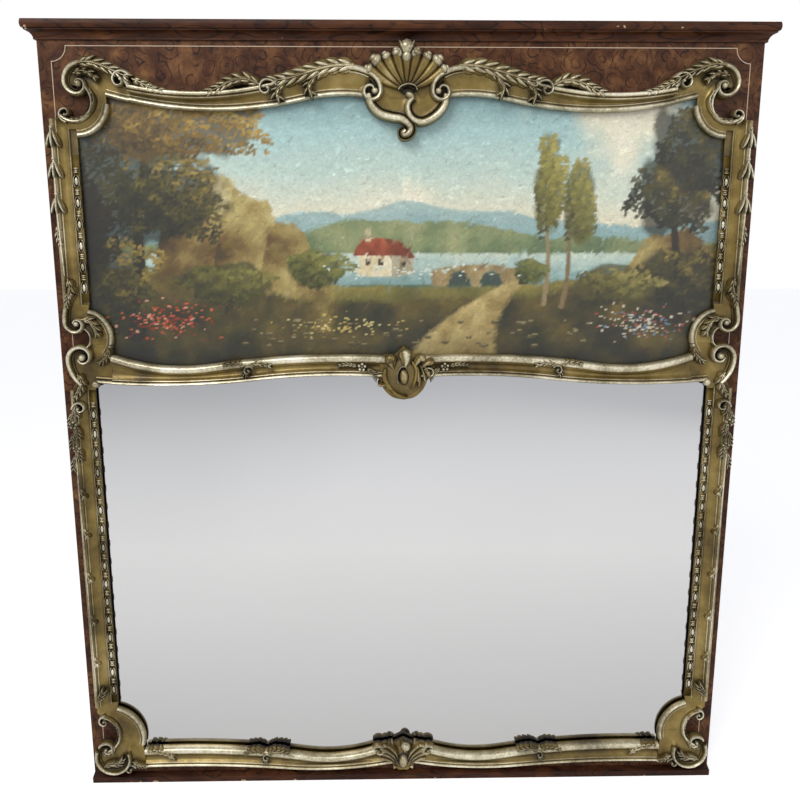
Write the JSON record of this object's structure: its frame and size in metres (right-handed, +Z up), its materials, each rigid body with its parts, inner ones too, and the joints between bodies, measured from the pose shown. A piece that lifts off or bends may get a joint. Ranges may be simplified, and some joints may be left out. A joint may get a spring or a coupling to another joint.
{
  "type": "trumeau mirror",
  "caption": "Tall overmantel mirror with a veneered board, a painted panel over a looking glass, carved gilt mouldings, cornice and base.",
  "frame": {"origin": "the middle of the foot of the back: on the wall plane, at the level of the shelf it stands on", "axes": "+Z up the board, +Y out of the back into the wall, +X to the right seen from the front"},
  "size_m": [1.32, 0.0699, 1.477],
  "materials": {
    "gilt_wood": "carved wood, water gilt over bole, worn and greyed with dirt in the hollows",
    "burl": "burl veneer, polished",
    "dark_walnut": "stained and polished, chipped edges",
    "pine": "raw, darkened with age",
    "painted_canvas": "oil paint on canvas, varnished; raw cloth behind",
    "plate_glass": "polished",
    "silver": "silvered back of the glass",
    "iron": "dull, lightly rusted",
    "brass": "tarnished"
  },
  "bodies": {
    "frame": {"backboard_nails": "iron", "backboards": "pine", "base_board": "dark_walnut", "bellflower_drop_left": "gilt_wood", "bellflower_drop_right": "gilt_wood", "burl_veneer": "burl", "canvas": "painted_canvas", "cornice_front": "dark_walnut", "cornice_return_left": "dark_walnut", "cornice_return_right": "dark_walnut", "crest_shell": "gilt_wood", "glass_battens": "pine", "hanger_plate_left": "iron", "hanger_plate_right": "iron", "hanger_screws": "iron", "leaf_spray_left": "gilt_wood", "leaf_spray_right": "gilt_wood", "low_cartouche": "gilt_wood", "low_corner_left": "gilt_wood", "low_corner_right": "gilt_wood", "low_moulding_left": "gilt_wood", "low_moulding_right": "gilt_wood", "low_rail": "pine", "lower_beading_left": "gilt_wood", "lower_beading_right": "gilt_wood", "lower_side_left": "gilt_wood", "lower_side_right": "gilt_wood", "mid_cartouche": "gilt_wood", "mid_moulding_left": "gilt_wood", "mid_moulding_right": "gilt_wood", "mid_rail": "pine", "mirror_glass": "plate_glass", "side_garland_left": "gilt_wood", "side_garland_right": "gilt_wood", "silvering": "silver", "stile_left": "pine", "stile_right": "pine", "stretcher_bottom": "pine", "stretcher_crossbar": "pine", "stretcher_keys": "pine", "stretcher_side_left": "pine", "stretcher_side_right": "pine", "stretcher_top": "pine", "top_corner_left": "gilt_wood", "top_corner_right": "gilt_wood", "top_moulding_left": "gilt_wood", "top_moulding_right": "gilt_wood", "top_rail": "pine", "turn_button_screws": "iron", "upper_beading_left": "gilt_wood", "upper_beading_right": "gilt_wood", "upper_side_left": "gilt_wood", "upper_side_right": "gilt_wood"},
    "ring_left": {"hanger_ring_left": "iron"},
    "ring_right": {"hanger_ring_right": "iron"},
    "button_bottom_left": {"turn_button_bottom_left": "brass"},
    "button_bottom_right": {"turn_button_bottom_right": "brass"},
    "button_top_left": {"turn_button_top_left": "brass"},
    "button_top_right": {"turn_button_top_right": "brass"}
  },
  "joints": [
    {"name": "ring_swing_left", "type": "hinge", "parent": "frame", "child": "ring_left", "pos_m": [-0.38, 0.005, 1.44], "axis": [1, 0, 0], "range_deg": [0, 175]},
    {"name": "ring_swing_right", "type": "hinge", "parent": "frame", "child": "ring_right", "pos_m": [0.38, 0.005, 1.44], "axis": [1, 0, 0], "range_deg": [0, 175]},
    {"name": "button_turn_top_left", "type": "hinge", "parent": "frame", "child": "button_top_left", "pos_m": [-0.25, 0.0023, 1.385], "axis": [0, 1, 0], "continuous": true},
    {"name": "button_turn_top_right", "type": "hinge", "parent": "frame", "child": "button_top_right", "pos_m": [0.25, 0.0023, 1.385], "axis": [0, 1, 0], "continuous": true},
    {"name": "button_turn_bottom_left", "type": "hinge", "parent": "frame", "child": "button_bottom_left", "pos_m": [-0.25, 0.0023, 0.8595], "axis": [0, 1, 0], "continuous": true},
    {"name": "button_turn_bottom_right", "type": "hinge", "parent": "frame", "child": "button_bottom_right", "pos_m": [0.25, 0.0023, 0.8595], "axis": [0, 1, 0], "continuous": true}
  ]
}
